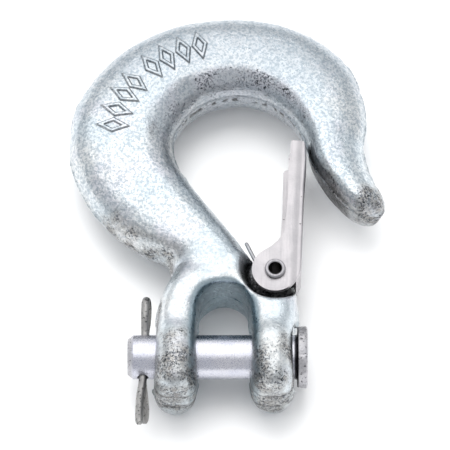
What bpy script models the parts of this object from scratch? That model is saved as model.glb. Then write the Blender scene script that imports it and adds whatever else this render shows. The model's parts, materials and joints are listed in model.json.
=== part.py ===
"""A forged clevis slip hook with a spring latch, lying flat on its back.

+X runs from the cotter pin to the head of the clevis pin, +Y from the clevis to the crown of the
bowl, and +Z up out of the hook's plane. The shapes are worked out in millimetres in a frame on the
clevis pin's axis, in the middle of the jaw, and placed by the empties at the end.
"""
import math

import bmesh
import bpy
import numpy as np
from mathutils import Matrix, Vector

MM = 0.001

# Placement of the clevis pin's axis: the origin is under the middle of the whole hook.
PIN_AXIS = (-0.8, -41.0, 14.0)

# Fits, and how far a cutter reaches past what it cuts
GAP = 0.3
CUTTER_REACH = 30.0

# Clevis
PIN_RADIUS = 6.35
BORE_RADIUS = PIN_RADIUS + GAP
JAW_HALF_WIDTH = 7.4
CROTCH_CENTRE_Y = 12.0
EAR_HALF_DEPTH = 14.0
BOSS_FACE_X = 19.6
BOSS_FACE_RADIUS = 9.8
FACE_REACH = 26.0

# Clevis pin
PIN_END_X = -27.6
PIN_CHAMFER = 1.3
HEAD_INNER_X = 20.95
HEAD_OUTER_X = 23.9
HEAD_RADIUS = 8.7
HEAD_CHAMFER = 0.5

# Cotter pin: half-round wire, folded into an eye and two legs
COTTER_X = -22.9
COTTER_LEAN = math.radians(2.5)
COTTER_TURN = math.radians(8.0)
COTTER_WIRE_RADIUS = 1.2
COTTER_SPLIT = 0.15
COTTER_TIP_SCALE = 0.8
COTTER_HOLE_RADIUS = COTTER_SPLIT + COTTER_WIRE_RADIUS + GAP

# Latch and its pivot
PIVOT = (14.7, 24.6)
LATCH_HALF_WIDTH = 6.7
SHEET = 1.5
BEND_RADIUS = 2.3
BEND_START_Y = -2.0
BEND_END_Y = 39.5
BEND_RIM_DEPTH = 0.4
CHANNEL_REACH = 3.0
EYE_RADIUS = 6.7
EYE_ARC_DEGREES = (122.0, 335.0)
EYE_ARC_STEPS = 22
RIVET_RADIUS = 2.4
RIVET_HOLLOW_RADIUS = 1.8
RIVET_FLANGE_RADIUS = 2.95
RIVET_FLANGE = 0.8
RIVET_ROLL = 0.3
PIVOT_BORE_RADIUS = RIVET_RADIUS + GAP

# Hollows in both faces of the forging that the latch's cheeks turn in
POCKET_RADIUS = 8.0
POCKET_DRAFT = math.radians(17.0)
POCKET_TOP_Z = 17.0
FRONT_FLOOR_Z = 1.8
REAR_FLOOR_Z = -4.9
PIVOT_BOSS_RADIUS = 5.2
PIVOT_BOSS_HALF_DEPTH = 7.0

# Latch spring
WIRE_RADIUS = 0.55
COIL_RADIUS = 3.3
COIL_START_Z = 2.55
COIL_END_Z = 4.4
COIL_TURNS = 1
COIL_STEPS = 30
BODY_LEG_TIP = (-8.2, 9.6)
LATCH_LEG_TIP = (5.2, 15.0)

# Stations along the bow: (outer x, y, inner x, y, half depth)
BOW = [
    (-15.6, 19.6, 18.4, 16.0, 11.2),
    (-14.3, 25.4, 12.6, 26.0, 10.8),
    (-16.7, 29.9, 7.4, 29.9, 10.4),
    (-24.3, 33.1, 2.9, 36.7, 10.3),
    (-33.8, 41.0, -3.4, 44.9, 10.4),
    (-40.7, 50.5, -9.7, 53.1, 10.8),
    (-44.2, 60.6, -14.2, 60.5, 11.0),
    (-44.5, 69.4, -14.8, 67.6, 11.0),
    (-41.8, 79.2, -12.1, 73.6, 11.0),
    (-35.6, 88.6, -8.2, 77.7, 10.9),
    (-26.6, 96.8, -3.8, 80.0, 10.8),
    (-12.7, 103.2, 0.7, 81.2, 10.6),
    (4.9, 105.2, 5.4, 81.5, 10.5),
    (18.7, 102.8, 11.1, 80.2, 10.3),
    (29.3, 97.1, 16.0, 77.5, 10.1),
    (36.6, 89.4, 20.0, 73.6, 10.0),
    (40.0, 80.6, 22.5, 69.6, 9.9),
    (41.0, 72.6, 24.2, 65.8, 9.8),
    (40.1, 64.6, 25.6, 60.0, 9.7),
    (41.6, 56.8, 29.8, 53.0, 9.5),
    (44.6, 50.4, 34.8, 46.8, 8.9),
    (46.3, 46.9, 37.6, 44.4, 8.0),
    (46.0, 44.8, 39.4, 43.4, 6.6),
    (44.7, 43.3, 41.4, 42.7, 4.2),
]

# Stations up each ear, from its rounded end into the neck
LEFT_EAR = [
    (-16.2, -14.1, -11.5, -14.1, 8.6),
    (-18.6, -13.1, -9.3, -13.1, 11.4),
    (-19.9, -10.8, -7.9, -10.8, 13.1),
    (-20.4, -6.5, -7.2, -6.5, 13.9),
    (-20.1, -1.5, -7.1, -1.5, EAR_HALF_DEPTH),
    (-19.8, 3.0, -7.1, 3.0, 13.4),
    (-19.5, 7.2, -7.1, 7.2, 11.7),
    (-19.2, 10.6, -6.8, 10.4, 11.2),
    (-18.7, 15.2, -5.8, 14.0, 11.5),
    (-17.0, 19.6, -3.2, 17.2, 11.4),
    (-14.8, 23.6, 2.0, 18.6, 11.0),
    (-12.0, 28.0, 6.0, 22.0, 9.6),
]
RIGHT_EAR = [
    (16.2, -13.7, 11.5, -13.7, 8.6),
    (18.6, -12.8, 9.3, -12.8, 11.4),
    (19.9, -10.6, 7.9, -10.6, 13.1),
    (20.5, -6.5, 7.2, -6.5, 13.9),
    (20.3, -1.5, 7.1, -1.5, EAR_HALF_DEPTH),
    (20.3, 3.0, 7.1, 3.0, 13.4),
    (20.6, 7.2, 7.1, 7.2, 11.7),
    (20.9, 10.6, 6.8, 10.4, 11.2),
    (21.1, 14.6, 5.8, 13.8, 11.4),
    (20.8, 18.8, 3.2, 17.2, 11.2),
    (19.6, 22.6, -1.0, 18.6, 10.6),
    (17.2, 26.4, -5.0, 22.0, 9.4),
]

# Section shape: 2 is an ellipse, and a higher power is squarer. The bow is deepest nearer its inner
# side, at a share of the way across from its outer side; an ear is deepest in its middle.
OUTER_POWER = 2.2
INNER_POWER = 2.5
EAR_POWER = 3.6
BOW_CREST = 0.66
EAR_CREST = 0.5
SECTION_POINTS = 28
BOW_STEPS = 3
EAR_STEPS = 2
ARCH_STEPS = 16

# One cheek of the latch, from the eye up the throat side, over the top and down the mouth side
CHEEK_THROAT_SIDE = [
    (13.5, 31.8), (15.5, 33.6), (16.9, 35.5), (17.5, 37.2), (18.4, 47.4), (18.7, 60.6),
    (19.2, 61.2), (19.3, 64.8), (19.8, 65.3),
]
CHEEK_MOUTH_SIDE = [
    (23.0, 65.0), (23.7, 64.3), (23.8, 59.4), (23.2, 51.2), (22.7, 39.2), (22.4, 29.1), (22.2, 24.6),
]

# Half of the cotter's eye and its two legs: (distance from the split, height above the pin's axis,
# sideways bend)
COTTER_EYE = [
    (0.0, 5.2, 0.0), (0.0, 7.2, 0.0), (0.5, 8.8, 0.0), (1.5, 10.9, 0.0), (2.1, 13.0, 0.0),
    (2.1, 15.0, 0.0), (1.3, 16.7, 0.0), (-0.15, 17.3, 0.0),
]
COTTER_FRONT_LEG = [
    (0.0, -5.0, 0.0), (0.0, -8.0, 0.0), (1.0, -13.0, -0.3), (2.4, -18.0, -0.1), (3.9, -22.6, 0.3),
]
COTTER_REAR_LEG = [
    (0.0, -5.0, 0.0), (0.0, -8.0, 0.0), (0.9, -12.0, 0.5), (2.0, -15.5, 0.8), (3.2, -19.2, 0.6),
]


def smooth_rows(rows, steps):
    """Points on a Catmull-Rom curve through the rows, `steps` to a span, ends included."""
    rows = np.array(rows, dtype=float)
    padded = np.vstack([2 * rows[0] - rows[1], rows, 2 * rows[-1] - rows[-2]])
    points = []
    for before, start, end, after in zip(padded, padded[1:], padded[2:], padded[3:]):
        for t in np.arange(steps) / steps:
            slope = end - before
            bend = 2 * before - 5 * start + 4 * end - after
            twist = 3 * start - before - 3 * end + after
            points.append((2 * start + slope * t + bend * t ** 2 + twist * t ** 3) / 2)
    points.append(rows[-1])
    return points


def new_object(name, bm):
    """An object that holds the bmesh, with faces pointing out and round surfaces smooth."""
    bmesh.ops.recalc_face_normals(bm, faces=bm.faces)
    mesh = bpy.data.meshes.new(name)
    bm.to_mesh(mesh)
    bm.free()
    mesh.shade_smooth()
    mesh.set_sharp_from_angle(angle=math.radians(35))
    obj = bpy.data.objects.new(name, mesh)
    bpy.context.collection.objects.link(obj)
    return obj


def rings_to_mesh(rings, closed=False):
    """Skins rings of points given in millimetres; open runs get a flat cap at each end."""
    bm = bmesh.new()
    rows = [[bm.verts.new(Vector(point) * MM) for point in ring] for ring in rings]
    pairs = list(zip(rows, rows[1:]))
    if closed:
        pairs.append((rows[-1], rows[0]))
    for first, second in pairs:
        for i in range(len(first)):
            j = (i + 1) % len(first)
            bm.faces.new((first[i], first[j], second[j], second[i]))
    if not closed:
        bm.faces.new(rows[0])
        bm.faces.new(list(reversed(rows[-1])))
    return bm


def limb_section(row, outer_power, inner_power, crest):
    """A ring round the line from a station's outer point to its inner point."""
    outer = np.array(row[0:2])
    inner = np.array(row[2:4])
    deepest = outer + (inner - outer) * crest
    ring = []
    for i in range(SECTION_POINTS):
        angle = 2 * math.pi * (i + 0.5) / SECTION_POINTS
        power, side = (inner_power, inner) if math.cos(angle) > 0 else (outer_power, outer)
        across = abs(math.cos(angle)) ** (2 / power)
        up = math.copysign(abs(math.sin(angle)) ** (2 / power), math.sin(angle))
        x, y = deepest + (side - deepest) * across
        ring.append((x, y, row[4] * up))
    return ring


def limb(name, stations, powers, crest, steps):
    """A forged limb, skinned through its stations. powers are its outer and its inner side's."""
    rings = [limb_section(row, *powers, crest) for row in smooth_rows(stations, steps)]
    return new_object(name, rings_to_mesh(rings))


def turned(name, profile, axis, segments):
    """A solid of revolution from (distance along the axis, radius) pairs, which close on themselves."""
    rings = []
    for k in range(segments):
        angle = 2 * math.pi * k / segments
        ring = []
        for along, radius in profile:
            a = radius * math.cos(angle)
            b = radius * math.sin(angle)
            ring.append({"X": (along, a, b), "Y": (b, along, a), "Z": (a, b, along)}[axis])
        rings.append(ring)
    bm = rings_to_mesh(rings, closed=True)
    bmesh.ops.remove_doubles(bm, verts=bm.verts, dist=0.00001)
    return new_object(name, bm)


def rod_profile(start, end, radius):
    """The profile of a plain solid rod."""
    return [(start, 0.0), (start, radius), (end, radius), (end, 0.0)]


def slab(name, outline, low, high, rounded=None, radius=0.0, segments=3):
    """An outline in the hook's plane, thickened from low to high, with some rim edges rounded.

    rounded tells, from an edge's middle in millimetres, whether that rim edge is rounded."""
    bm = bmesh.new()
    face = bm.faces.new([bm.verts.new((x * MM, y * MM, low * MM)) for x, y in outline])
    extruded = bmesh.ops.extrude_face_region(bm, geom=[face])["geom"]
    top = [item for item in extruded if isinstance(item, bmesh.types.BMVert)]
    bmesh.ops.translate(bm, verts=top, vec=(0.0, 0.0, (high - low) * MM))
    if rounded:
        rim = []
        for edge in bm.edges:
            first, second = edge.verts
            middle = (first.co + second.co) / (2 * MM)
            if abs(first.co.z - second.co.z) < 1e-6 and rounded(middle):
                rim.append(edge)
        bmesh.ops.bevel(bm, geom=rim, offset=radius * MM, offset_type="OFFSET", segments=segments,
                        profile=0.5, affect="EDGES", clamp_overlap=True)
        bmesh.ops.remove_doubles(bm, verts=bm.verts, dist=0.00001)
    return new_object(name, bm)


def combine(obj, other, operation):
    """Adds an exact Boolean, and keeps the other object as a guide only."""
    modifier = obj.modifiers.new(other.name, "BOOLEAN")
    modifier.operation = operation
    modifier.solver = "EXACT"
    modifier.object = other
    other.hide_render = True
    other.display_type = "WIRE"
    other.parent = obj


def finish_metal(obj, color, roughness):
    """Gives the object its own bare-metal material."""
    material = bpy.data.materials.new(obj.name)
    material.use_nodes = True
    shader = material.node_tree.nodes["Principled BSDF"]
    shader.inputs["Base Color"].default_value = (*color, 1.0)
    shader.inputs["Metallic"].default_value = 1.0
    shader.inputs["Roughness"].default_value = roughness
    obj.data.materials.append(material)


def jaw_outline():
    """The jaw's outline: an arch with two parallel sides that run out past the ears."""
    outline = [(-JAW_HALF_WIDTH, -CUTTER_REACH), (JAW_HALF_WIDTH, -CUTTER_REACH)]
    for i in range(ARCH_STEPS + 1):
        angle = math.pi * i / ARCH_STEPS
        x = JAW_HALF_WIDTH * math.cos(angle)
        outline.append((x, CROTCH_CENTRE_Y + JAW_HALF_WIDTH * math.sin(angle)))
    return outline


def pocket_profile(floor, top):
    """A drafted round hollow from its floor to a height past the forging's face."""
    mouth = POCKET_RADIUS + abs(top - floor) * math.tan(POCKET_DRAFT)
    return [(floor, 0.0), (floor, POCKET_RADIUS), (top, mouth), (top, 0.0)]


def at_pivot(name, profile):
    """A turned guide on the latch's axis."""
    shape = turned(name, profile, "Z", 48)
    shape.location = (PIVOT[0] * MM, PIVOT[1] * MM, 0.0)
    return shape


def make_hook_body():
    """The forging: bow, two ears and the latch's boss, with its machined cuts."""
    body = limb("hook_body", BOW, (OUTER_POWER, INNER_POWER), BOW_CREST, BOW_STEPS)
    ear_powers = (EAR_POWER, EAR_POWER)
    boss = rod_profile(-PIVOT_BOSS_HALF_DEPTH, PIVOT_BOSS_HALF_DEPTH, PIVOT_BOSS_RADIUS)
    for guide in (
        limb("left_ear_guide", LEFT_EAR, ear_powers, EAR_CREST, EAR_STEPS),
        limb("right_ear_guide", RIGHT_EAR, ear_powers, EAR_CREST, EAR_STEPS),
        at_pivot("pivot_boss_guide", boss),
    ):
        combine(body, guide, "UNION")
    for cutter in (
        slab("jaw_cutter", jaw_outline(), -CUTTER_REACH, CUTTER_REACH),
        turned("pin_bore_cutter", rod_profile(-CUTTER_REACH, CUTTER_REACH, BORE_RADIUS), "X", 48),
        turned("left_face_cutter", rod_profile(-FACE_REACH, -BOSS_FACE_X, BOSS_FACE_RADIUS), "X", 48),
        turned("right_face_cutter", rod_profile(BOSS_FACE_X, FACE_REACH, BOSS_FACE_RADIUS), "X", 48),
        at_pivot("front_pocket_cutter", pocket_profile(FRONT_FLOOR_Z, POCKET_TOP_Z)),
        at_pivot("rear_pocket_cutter", pocket_profile(REAR_FLOOR_Z, -POCKET_TOP_Z)),
        at_pivot("pivot_bore_cutter", rod_profile(-CUTTER_REACH, CUTTER_REACH, PIVOT_BORE_RADIUS)),
    ):
        combine(body, cutter, "DIFFERENCE")
    finish_metal(body, (0.62, 0.66, 0.70), 0.38)
    return body


def make_clevis_pin():
    """A headed pin with a chamfered end and a cross hole for the cotter."""
    profile = [
        (PIN_END_X, 0.0), (PIN_END_X, PIN_RADIUS - PIN_CHAMFER), (PIN_END_X + PIN_CHAMFER, PIN_RADIUS),
        (HEAD_INNER_X, PIN_RADIUS), (HEAD_INNER_X, HEAD_RADIUS), (HEAD_OUTER_X - HEAD_CHAMFER, HEAD_RADIUS),
        (HEAD_OUTER_X, HEAD_RADIUS - HEAD_CHAMFER), (HEAD_OUTER_X, 0.0),
    ]
    pin = turned("clevis_pin", profile, "X", 48)
    across = rod_profile(-CUTTER_REACH, CUTTER_REACH, COTTER_HOLE_RADIUS)
    hole = turned("cotter_hole_cutter", across, "Y", 20)
    hole.location.x = COTTER_X * MM
    hole.rotation_euler.z = -COTTER_LEAN
    combine(pin, hole, "DIFFERENCE")
    finish_metal(pin, (0.72, 0.71, 0.76), 0.25)
    return pin


def cotter_ring(point, tangent, size):
    """A half-round section whose flat side faces the inside of the fold."""
    outward = np.array((tangent[1], -tangent[0])) / math.hypot(tangent[0], tangent[1])
    ring = []
    for i in range(9):
        angle = math.pi * i / 8
        across, height = point[:2] + outward * size * math.sin(angle)
        ring.append((point[2] + size * math.cos(angle), height, across))
    return ring


def make_cotter_pin():
    """Half-round wire, up one leg, round the eye and down the other leg."""
    eye = [(p + COTTER_SPLIT, q, side) for p, q, side in COTTER_EYE]
    front = [(p + COTTER_SPLIT, q, side) for p, q, side in reversed(COTTER_FRONT_LEG)]
    rear = [(-p - COTTER_SPLIT, q, side) for p, q, side in COTTER_REAR_LEG]
    far_eye = [(-p, q, side) for p, q, side in reversed(eye[:-1])]
    path = smooth_rows(front + eye + far_eye + rear, 3)
    rings = []
    for i, point in enumerate(path):
        tangent = path[min(i + 1, len(path) - 1)] - path[max(i - 1, 0)]
        size = COTTER_WIRE_RADIUS * (COTTER_TIP_SCALE if i in (0, len(path) - 1) else 1.0)
        rings.append(cotter_ring(point, tangent, size))
    cotter = new_object("cotter_pin", rings_to_mesh(rings))
    turn = Matrix.Rotation(-COTTER_LEAN, 4, "Z") @ Matrix.Rotation(-COTTER_TURN, 4, "Y")
    cotter.data.transform(Matrix.Translation((COTTER_X * MM, 0.0, 0.0)) @ turn)
    finish_metal(cotter, (0.50, 0.50, 0.51), 0.35)
    return cotter


def latch_outline():
    """One cheek's outline round the pivot, anticlockwise from the mouth side."""
    outline = [(x - PIVOT[0], y - PIVOT[1]) for x, y in reversed(CHEEK_MOUTH_SIDE)]
    outline += [(x - PIVOT[0], y - PIVOT[1]) for x, y in reversed(CHEEK_THROAT_SIDE)]
    start, end = EYE_ARC_DEGREES
    for i in range(EYE_ARC_STEPS + 1):
        angle = math.radians(start + (end - start) * i / EYE_ARC_STEPS)
        outline.append((EYE_RADIUS * math.cos(angle), EYE_RADIUS * math.sin(angle)))
    return outline


def mouth_line(height):
    """How far right of the pivot the latch's mouth side is, at a height above the pivot."""
    side = sorted((point[1] - PIVOT[1], point[0] - PIVOT[0]) for point in CHEEK_MOUTH_SIDE[2:])
    return float(np.interp(height, [row[0] for row in side], [row[1] for row in side]))


def on_mouth_side(middle):
    """Whether an edge of the cheeks' rim, by its middle, is on the side that bends into the web."""
    return BEND_START_Y < middle.y < BEND_END_Y and middle.x > mouth_line(middle.y) - BEND_RIM_DEPTH


def on_web_side(middle):
    """Whether an edge of the channel's rim, by its middle, meets the web."""
    return middle.x > 0.0


def make_latch():
    """A pressed channel: two cheeks and the web that joins them on the mouth side."""
    half = LATCH_HALF_WIDTH
    latch = slab("latch", latch_outline(), -half, half, on_mouth_side, BEND_RADIUS)
    reach = max(y for _, y in CHEEK_THROAT_SIDE) - PIVOT[1] + CHANNEL_REACH
    foot = -EYE_RADIUS - CHANNEL_REACH
    throat = -EYE_RADIUS - CHANNEL_REACH
    heights = [foot] + [y - PIVOT[1] for _, y in reversed(CHEEK_MOUTH_SIDE[2:])] + [reach]
    outline = [(throat, foot)] + [(mouth_line(y) - SHEET, y) for y in heights] + [(throat, reach)]
    depth = LATCH_HALF_WIDTH - SHEET
    channel = slab("latch_channel_cutter", outline, -depth, depth, on_web_side, BEND_RADIUS - SHEET, 2)
    combine(latch, channel, "DIFFERENCE")
    through = rod_profile(-CUTTER_REACH, CUTTER_REACH, PIVOT_BORE_RADIUS)
    combine(latch, turned("latch_bore_cutter", through, "Z", 32), "DIFFERENCE")
    finish_metal(latch, (0.74, 0.73, 0.74), 0.42)
    return latch


def make_latch_pin():
    """A tubular rivet with a rolled flange at each end."""
    seat = LATCH_HALF_WIDTH + GAP
    end = seat + RIVET_FLANGE
    profile = [
        (-end, RIVET_HOLLOW_RADIUS), (-end, RIVET_FLANGE_RADIUS - RIVET_ROLL),
        (-end + RIVET_ROLL, RIVET_FLANGE_RADIUS), (-seat, RIVET_FLANGE_RADIUS), (-seat, RIVET_RADIUS),
        (seat, RIVET_RADIUS), (seat, RIVET_FLANGE_RADIUS), (end - RIVET_ROLL, RIVET_FLANGE_RADIUS),
        (end, RIVET_FLANGE_RADIUS - RIVET_ROLL), (end, RIVET_HOLLOW_RADIUS),
    ]
    rivet = turned("latch_pin", profile, "Z", 32)
    finish_metal(rivet, (0.70, 0.69, 0.70), 0.3)
    return rivet


def tangent_angle(tip, side):
    """The angle at which a straight leg from the tip meets the coil."""
    reach = math.hypot(*tip)
    return math.atan2(tip[1], tip[0]) + side * math.acos(COIL_RADIUS / reach)


def spring_path():
    """A leg down from the shank, a coil round the pivot, and a leg up inside the latch."""
    start = tangent_angle(BODY_LEG_TIP, 1)
    end = tangent_angle(LATCH_LEG_TIP, -1) + 2 * math.pi * (COIL_TURNS + 1)
    path = [(*BODY_LEG_TIP, COIL_START_Z)]
    for i in range(COIL_STEPS + 1):
        angle = start + (end - start) * i / COIL_STEPS
        height = COIL_START_Z + (COIL_END_Z - COIL_START_Z) * i / COIL_STEPS
        path.append((COIL_RADIUS * math.cos(angle), COIL_RADIUS * math.sin(angle), height))
    path.append((*LATCH_LEG_TIP, COIL_END_Z))
    return [Vector(point) for point in path]


def make_latch_spring():
    """Round wire along the spring's path."""
    path = spring_path()
    rings = []
    for i, point in enumerate(path):
        tangent = (path[min(i + 1, len(path) - 1)] - path[max(i - 1, 0)]).normalized()
        across = tangent.cross(Vector((0.0, 0.0, 1.0))).normalized()
        up = across.cross(tangent)
        ring = []
        for k in range(8):
            angle = 2 * math.pi * k / 8
            ring.append(point + (across * math.cos(angle) + up * math.sin(angle)) * WIRE_RADIUS)
        rings.append(ring)
    spring = new_object("latch_spring", rings_to_mesh(rings))
    finish_metal(spring, (0.45, 0.45, 0.47), 0.3)
    return spring


def main():
    for obj in list(bpy.data.objects):
        bpy.data.objects.remove(obj, do_unlink=True)
    frame = bpy.data.objects.new("pin_axis", None)
    pivot = bpy.data.objects.new("latch_axis", None)
    for empty in (frame, pivot):
        bpy.context.collection.objects.link(empty)
    frame.location = Vector(PIN_AXIS) * MM
    pivot.parent = frame
    pivot.location = (PIVOT[0] * MM, PIVOT[1] * MM, 0.0)
    for piece in (make_hook_body(), make_clevis_pin(), make_cotter_pin()):
        piece.parent = frame
    for piece in (make_latch(), make_latch_pin(), make_latch_spring()):
        piece.parent = pivot


main()
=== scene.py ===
"""The looks of a forged clevis slip hook: fine meshes and zinc-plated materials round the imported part.

The meshes are worked out in millimetres in the design's own frame, whose origin is the middle of the
clevis pin's axis, with +X towards the pin's head, +Y towards the crown and +Z towards the viewer. They
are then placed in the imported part's frame, in metres.
"""

import json
import math

import bmesh
import bpy
import numpy as np
from mathutils import Matrix, Vector, noise


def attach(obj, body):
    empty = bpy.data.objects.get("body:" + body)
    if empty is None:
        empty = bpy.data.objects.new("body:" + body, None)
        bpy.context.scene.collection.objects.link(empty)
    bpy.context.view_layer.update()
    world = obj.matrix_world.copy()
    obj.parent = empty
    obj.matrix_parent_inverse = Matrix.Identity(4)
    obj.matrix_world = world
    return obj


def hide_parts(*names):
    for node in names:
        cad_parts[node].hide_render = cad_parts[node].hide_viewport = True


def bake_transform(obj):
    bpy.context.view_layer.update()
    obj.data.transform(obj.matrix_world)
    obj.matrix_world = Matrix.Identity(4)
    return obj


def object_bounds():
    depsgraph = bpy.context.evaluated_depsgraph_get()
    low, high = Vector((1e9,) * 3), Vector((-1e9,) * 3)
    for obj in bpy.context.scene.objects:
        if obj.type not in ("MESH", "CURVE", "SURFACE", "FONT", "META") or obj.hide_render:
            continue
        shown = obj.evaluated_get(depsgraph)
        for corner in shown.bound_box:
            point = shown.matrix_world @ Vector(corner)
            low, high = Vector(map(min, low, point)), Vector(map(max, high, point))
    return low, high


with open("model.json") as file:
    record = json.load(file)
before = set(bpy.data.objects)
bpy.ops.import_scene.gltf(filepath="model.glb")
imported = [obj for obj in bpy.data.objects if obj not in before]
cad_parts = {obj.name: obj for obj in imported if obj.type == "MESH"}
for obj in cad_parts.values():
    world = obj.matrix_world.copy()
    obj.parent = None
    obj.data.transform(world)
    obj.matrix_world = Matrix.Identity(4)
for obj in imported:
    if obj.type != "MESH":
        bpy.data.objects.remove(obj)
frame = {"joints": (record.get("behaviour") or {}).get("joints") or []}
cad_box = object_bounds()

MM = 0.001

# The clevis pin's joint gives the design frame's origin.
SPIN = next(joint for joint in frame["joints"] if joint["name"] == "clevis_pin_spin")
ORIGIN = Vector(SPIN["pos_m"])

# Clevis
PIN_RADIUS = 6.35
BORE_RADIUS = 6.65
JAW_HALF_WIDTH = 7.4
CROTCH_CENTRE_Y = 12.0
EAR_HALF_DEPTH = 14.0
BOSS_FACE_X = 19.6
BOSS_FACE_RADIUS = 9.8
REACH = 30.0
JAW_FRONT_DRAFT = 0.10
JAW_REAR_DRAFT = 0.02
JAW_DRAFT_START = 1.0
JAW_RIM = 0.8
JAW_RIM_DEPTH = 4.0
CROTCH_SINK = 0.6

# Clevis pin
PIN_END_X = -27.6
PIN_CHAMFER = 1.3
HEAD_INNER_X = 20.95
HEAD_OUTER_X = 23.9
HEAD_RADIUS = 8.7

# Cotter pin
COTTER_X = -22.9
COTTER_LEAN = math.radians(2.5)
COTTER_TURN = math.radians(8.0)
COTTER_WIRE_RADIUS = 1.2
COTTER_SPLIT = 0.15
COTTER_HOLE_RADIUS = 1.65

# Latch and its pivot
PIVOT = (14.7, 24.6)
LATCH_HALF_WIDTH = 6.7
SHEET_THICKNESS = 1.5
BEND_RADIUS = 2.3
EYE_RADIUS = 6.7
EYE_ARC_DEGREES = (122.0, 335.0)
RIVET_RADIUS = 2.4
RIVET_HOLLOW_RADIUS = 1.8
RIVET_FLANGE_RADIUS = 2.95
RIVET_FLANGE = 0.8
PIVOT_BORE_RADIUS = 2.7

# Hollows that the latch's cheeks turn in
POCKET_RADIUS = 8.0
POCKET_DRAFT = math.radians(17.0)
POCKET_TOP_Z = 17.0
FRONT_FLOOR_Z = 1.8
REAR_FLOOR_Z = -4.9
PIVOT_BOSS_RADIUS = 5.2
PIVOT_BOSS_HALF_DEPTH = 7.0

# Latch spring
WIRE_RADIUS = 0.55
COIL_RADIUS = 3.3
COIL_START_Z = 2.55
COIL_END_Z = 4.4
COIL_TURNS = 1
BODY_LEG_TIP = (-8.2, 9.6)
LATCH_LEG_TIP = (5.2, 15.0)

# Stations along the bow: (outer x, y, inner x, y, half depth)
BOW = [
    (-15.6, 19.6, 18.4, 16.0, 11.2),
    (-14.3, 25.4, 12.6, 26.0, 10.8),
    (-16.7, 29.9, 7.4, 29.9, 10.4),
    (-24.3, 33.1, 2.9, 36.7, 10.3),
    (-33.8, 41.0, -3.4, 44.9, 10.4),
    (-40.7, 50.5, -9.7, 53.1, 10.8),
    (-44.2, 60.6, -14.2, 60.5, 11.0),
    (-44.5, 69.4, -14.8, 67.6, 11.0),
    (-41.8, 79.2, -12.1, 73.6, 11.0),
    (-35.6, 88.6, -8.2, 77.7, 10.9),
    (-26.6, 96.8, -3.8, 80.0, 10.8),
    (-12.7, 103.2, 0.7, 81.2, 10.6),
    (4.9, 105.2, 5.4, 81.5, 10.5),
    (18.7, 102.8, 11.1, 80.2, 10.3),
    (29.3, 97.1, 16.0, 77.5, 10.1),
    (36.6, 89.4, 20.0, 73.6, 10.0),
    (40.0, 80.6, 22.5, 69.6, 9.9),
    (41.0, 72.6, 24.2, 65.8, 9.8),
    (40.1, 64.6, 25.6, 60.0, 9.7),
    (41.6, 56.8, 29.8, 53.0, 9.5),
    (44.6, 50.4, 34.8, 46.8, 8.9),
    (46.3, 46.9, 37.6, 44.4, 8.0),
    (46.0, 44.8, 39.4, 43.4, 6.6),
    (44.7, 43.3, 41.4, 42.7, 4.2),
]

# Stations up each ear, from its rounded end into the neck
LEFT_EAR = [
    (-16.2, -14.1, -11.5, -14.1, 8.6),
    (-18.6, -13.1, -9.3, -13.1, 11.4),
    (-19.9, -10.8, -7.9, -10.8, 13.1),
    (-20.4, -6.5, -7.2, -6.5, 13.9),
    (-20.1, -1.5, -7.1, -1.5, EAR_HALF_DEPTH),
    (-19.8, 3.0, -7.1, 3.0, 13.4),
    (-19.5, 7.2, -7.1, 7.2, 11.7),
    (-19.2, 10.6, -6.8, 10.4, 11.2),
    (-18.7, 15.2, -5.8, 14.0, 11.5),
    (-17.0, 19.6, -3.2, 17.2, 11.4),
    (-14.8, 23.6, 2.0, 18.6, 11.0),
    (-12.0, 28.0, 6.0, 22.0, 9.6),
]
RIGHT_EAR = [
    (16.2, -13.7, 11.5, -13.7, 8.6),
    (18.6, -12.8, 9.3, -12.8, 11.4),
    (19.9, -10.6, 7.9, -10.6, 13.1),
    (20.5, -6.5, 7.2, -6.5, 13.9),
    (20.3, -1.5, 7.1, -1.5, EAR_HALF_DEPTH),
    (20.3, 3.0, 7.1, 3.0, 13.4),
    (20.6, 7.2, 7.1, 7.2, 11.7),
    (20.9, 10.6, 6.8, 10.4, 11.2),
    (21.1, 14.6, 5.8, 13.8, 11.4),
    (20.8, 18.8, 3.2, 17.2, 11.2),
    (19.6, 22.6, -1.0, 18.6, 10.6),
    (17.2, 26.4, -5.0, 22.0, 9.4),
]

# Section shape, as (station, value) along the limb: a power of 2 is an ellipse, and a higher one is
# squarer. The crest is how far across the limb the section is deepest, from the outer side. The last two
# are the height of the parting line.
OUTER_POWER = [(0, 2.4), (11, 2.35), (14, 1.75), (16, 1.5), (20, 1.5), (23, 2.0)]
INNER_FRONT_POWER = [(0, 2.6), (4, 2.1), (9, 1.6), (20, 1.55), (23, 2.0)]
INNER_REAR_POWER = [(0, 2.8), (9, 3.8), (20, 3.2), (23, 2.0)]
BOW_CREST = [(0, 0.62), (9, 0.66), (12, 0.70), (15, 0.79), (19, 0.76), (23, 0.5)]
EAR_POWER = [(0, 2.2), (3, 2.5), (6, 3.0)]
EAR_CREST = [(0, 0.5)]
PARTING = [(0, -0.8), (4, -0.3), (8, 1.2), (12, 2.0), (20, 3.0), (23, 1.5)]
EAR_PARTING = [(0, -0.8)]

# One cheek of the latch, from the eye up the throat side, over the top and down the mouth side
CHEEK_THROAT_SIDE = [
    (13.5, 31.8), (15.5, 33.6), (16.9, 35.5), (17.5, 37.2), (18.4, 47.4), (18.7, 60.6),
    (19.2, 61.2), (19.3, 64.8), (19.8, 65.3),
]
CHEEK_MOUTH_SIDE = [
    (23.0, 65.0), (23.7, 64.3), (23.8, 59.4), (23.2, 51.2), (22.7, 39.2), (22.4, 29.1), (22.2, 24.6),
]
REAR_CHEEK_THROAT_SIDE = [
    (12.6, 31.6), (14.2, 33.6), (15.6, 35.9), (16.3, 38.2), (16.9, 47.4), (17.2, 60.2),
    (17.6, 60.9), (18.9, 61.3), (19.3, 62.0), (19.3, 64.8), (19.8, 65.3),
]

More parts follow.
